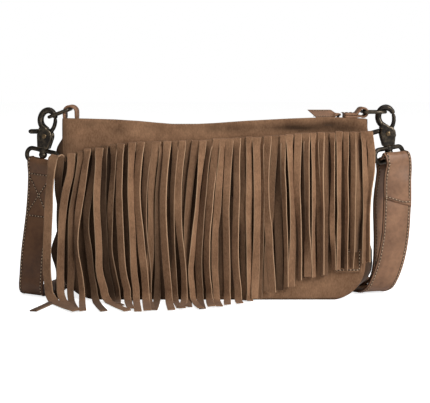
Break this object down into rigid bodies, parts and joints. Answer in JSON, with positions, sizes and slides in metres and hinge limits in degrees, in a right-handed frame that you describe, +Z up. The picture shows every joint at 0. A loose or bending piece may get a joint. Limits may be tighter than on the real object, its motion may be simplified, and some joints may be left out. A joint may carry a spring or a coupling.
{
  "type": "fringed suede shoulder bag",
  "caption": "Soft suede shoulder bag with a long cut fringe over its front, a zipped top, and a flat leather strap clipped to D-rings by swivel snap hooks.",
  "frame": {"origin": "middle of the flat base that the bag stands on", "axes": "+Z up; the fringed front faces -Y; +X runs along the bag to the right as seen from the front"},
  "size_m": [0.396, 0.1722, 0.1943],
  "materials": {
    "suede": "napped suede",
    "dark_suede": "napped suede, in shade",
    "strap_leather": "satin smooth leather",
    "zip_cloth": "woven tape with moulded teeth",
    "gunmetal": "aged dark brass",
    "rivet_brass": "worn satin",
    "spring_steel": "plain wire"
  },
  "bodies": {
    "bag": {"front_panel": "suede", "back_panel": "suede", "gusset": "dark_suede", "fringe_band": "suede", "fringe_front": "suede", "fringe_rear": "dark_suede", "blank_patch": "suede", "zip_half_front": "zip_cloth", "zip_half_back": "zip_cloth", "ring_loop_left": "strap_leather", "ring_loop_right": "strap_leather", "swivel_eye_left": "gunmetal", "swivel_eye_right": "gunmetal", "strap_main": "strap_leather", "strap_end": "strap_leather"},
    "ring_left": {"d_ring_left": "gunmetal"},
    "ring_right": {"d_ring_right": "gunmetal"},
    "snap_left": {"hook_left": "gunmetal", "rivet_left": "rivet_brass", "trigger_spring_left": "spring_steel"},
    "gate_left": {"trigger_left": "gunmetal"},
    "snap_right": {"hook_right": "gunmetal", "rivet_right": "rivet_brass", "trigger_spring_right": "spring_steel"},
    "gate_right": {"trigger_right": "gunmetal"},
    "slider": {"zip_slider": "gunmetal"},
    "puller": {"zip_puller": "gunmetal"},
    "tab": {"zip_pull_tab": "strap_leather"}
  },
  "joints": [
    {"name": "ring_left_hinge", "type": "hinge", "parent": "bag", "child": "ring_left", "pos_m": [-0.14691, 0, 0.18995], "axis": [0, -1, 0], "range_deg": [-4, 8]},
    {"name": "ring_right_hinge", "type": "hinge", "parent": "bag", "child": "ring_right", "pos_m": [0.14782, 0, 0.18722], "axis": [0, 1, 0], "range_deg": [0, 14]},
    {"name": "hook_left_swivel", "type": "hinge", "parent": "bag", "child": "snap_left", "pos_m": [-0.174, 0, 0.1484], "axis": [0.165, 0, 0.9863], "range_deg": [-10, 10]},
    {"name": "trigger_left_hinge", "type": "hinge", "parent": "snap_left", "child": "gate_left", "pos_m": [-0.17157, 0, 0.1629], "axis": [-0.1713, -0.9848, 0.0287], "range_deg": [0, 5], "stiffness_Nm_per_rad": 0.02, "springref_deg": -11.46},
    {"name": "hook_right_swivel", "type": "hinge", "parent": "bag", "child": "snap_right", "pos_m": [0.174, 0, 0.1509], "axis": [-0.1045, 0, 0.9945], "range_deg": [-10, 10]},
    {"name": "trigger_right_hinge", "type": "hinge", "parent": "snap_right", "child": "gate_right", "pos_m": [0.17246, 0, 0.16552], "axis": [0, -1, 0], "range_deg": [0, 16], "stiffness_Nm_per_rad": 0.02, "springref_deg": -11.46},
    {"name": "zip_slide", "type": "slide", "parent": "bag", "child": "slider", "axis": [-1, 0, 0], "range_m": [0, 0.225], "deforming": ["zip_half_front", "zip_half_back"]},
    {"name": "puller_hinge", "type": "hinge", "parent": "slider", "child": "puller", "pos_m": [0.1209, 0, 0.1786], "axis": [0, 1, 0], "range_deg": [-8, 12]},
    {"name": "pull_tab_hinge", "type": "hinge", "parent": "puller", "child": "tab", "pos_m": [0.1234, 0, 0.1846], "axis": [0, 1, 0], "range_deg": [0, 100]}
  ]
}
